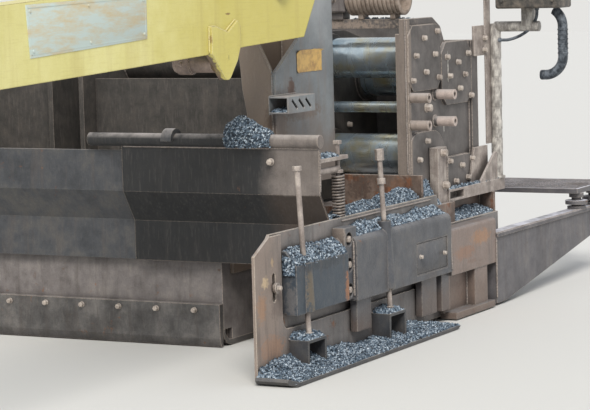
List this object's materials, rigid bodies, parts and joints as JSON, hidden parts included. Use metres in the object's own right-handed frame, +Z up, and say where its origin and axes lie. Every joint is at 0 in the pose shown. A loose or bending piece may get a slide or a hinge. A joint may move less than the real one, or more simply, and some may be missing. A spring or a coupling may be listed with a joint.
{
  "type": "extending paver screed",
  "caption": "Extending paver screed with tow arms, telescoping side extensions on guide tubes, and end gates on skis.",
  "frame": {"origin": "on the ground under the middle of the main sole", "axes": "+X forward along the travel, +Y to the left, +Z up"},
  "size_m": [5.045, 3.362, 1.315],
  "materials": {
    "arm_paint": "chalky yellow-green paint, rusty at the edges",
    "ear_paint": "blue-grey paint under dust",
    "screed_steel": "brown-grey dusty steel with rust patches",
    "wear_steel": "worn steel with asphalt stuck on",
    "tube_steel": "polished and ground guide tube",
    "spring_steel": "oiled and dusty steel",
    "stand_steel": "silver-grey taped pole with a dark box",
    "conduit_plastic": "dusty corrugated conduit"
  },
  "bodies": {
    "main": {"main_frame": "screed_steel", "main_sole": "wear_steel", "tamper_bar": "wear_steel", "main_shield": "screed_steel", "centre_beam": "screed_steel", "walkway_centre": "screed_steel", "ear_bracket_left": "ear_paint", "ear_bracket_right": "ear_paint", "tube_housing_left": "screed_steel", "tube_housing_right": "screed_steel", "housing_web_left": "screed_steel", "housing_web_right": "screed_steel", "sleeves_left": "screed_steel", "sleeves_right": "screed_steel", "cylinder_left": "screed_steel", "cylinder_right": "screed_steel"},
    "tow_arm_left": {"tow_arm_left": "arm_paint"},
    "extension_left": {"guide_tubes_left": "tube_steel", "carrier_left": "screed_steel", "cylinder_rod_left": "tube_steel", "conduit_left": "conduit_plastic", "extension_frame_left": "screed_steel", "extension_sole_left": "wear_steel", "side_plate_left": "screed_steel", "side_housing_left": "screed_steel", "shield_left": "screed_steel", "spring_post_left": "screed_steel", "spring_left": "spring_steel", "post_left": "screed_steel", "rear_arm_left": "screed_steel", "walkway_left": "screed_steel", "control_stand_left": "stand_steel"},
    "end_gate_left": {"end_gate_left": "screed_steel", "ski_left": "wear_steel", "spindles_left": "spring_steel"},
    "tow_arm_right": {"tow_arm_right": "arm_paint"},
    "extension_right": {"guide_tubes_right": "tube_steel", "carrier_right": "screed_steel", "cylinder_rod_right": "tube_steel", "conduit_right": "conduit_plastic", "extension_frame_right": "screed_steel", "extension_sole_right": "wear_steel", "side_plate_right": "screed_steel", "side_housing_right": "screed_steel", "shield_right": "screed_steel", "spring_post_right": "screed_steel", "spring_right": "spring_steel", "post_right": "screed_steel", "rear_arm_right": "screed_steel", "walkway_right": "screed_steel", "control_stand_right": "stand_steel"},
    "end_gate_right": {"end_gate_right": "screed_steel", "ski_right": "wear_steel", "spindles_right": "spring_steel"}
  },
  "joints": [
    {"name": "extend_left", "type": "slide", "parent": "main", "child": "extension_left", "axis": [0, 1, 0], "range_m": [-0.19, 0.3]},
    {"name": "gate_lift_left", "type": "slide", "parent": "extension_left", "child": "end_gate_left", "axis": [0, 0, 1], "range_m": [-0.035, 0.035]},
    {"name": "arm_pivot_left", "type": "hinge", "parent": "main", "child": "tow_arm_left", "pos_m": [0.43, 1.203, 1.245], "axis": [0, -1, 0], "range_deg": [-3, 3]},
    {"name": "extend_right", "type": "slide", "parent": "main", "child": "extension_right", "axis": [0, -1, 0], "range_m": [-0.19, 0.3]},
    {"name": "gate_lift_right", "type": "slide", "parent": "extension_right", "child": "end_gate_right", "axis": [0, 0, 1], "range_m": [-0.035, 0.035]},
    {"name": "arm_pivot_right", "type": "hinge", "parent": "main", "child": "tow_arm_right", "pos_m": [0.43, -1.203, 1.245], "axis": [0, -1, 0], "range_deg": [-3, 3]}
  ]
}
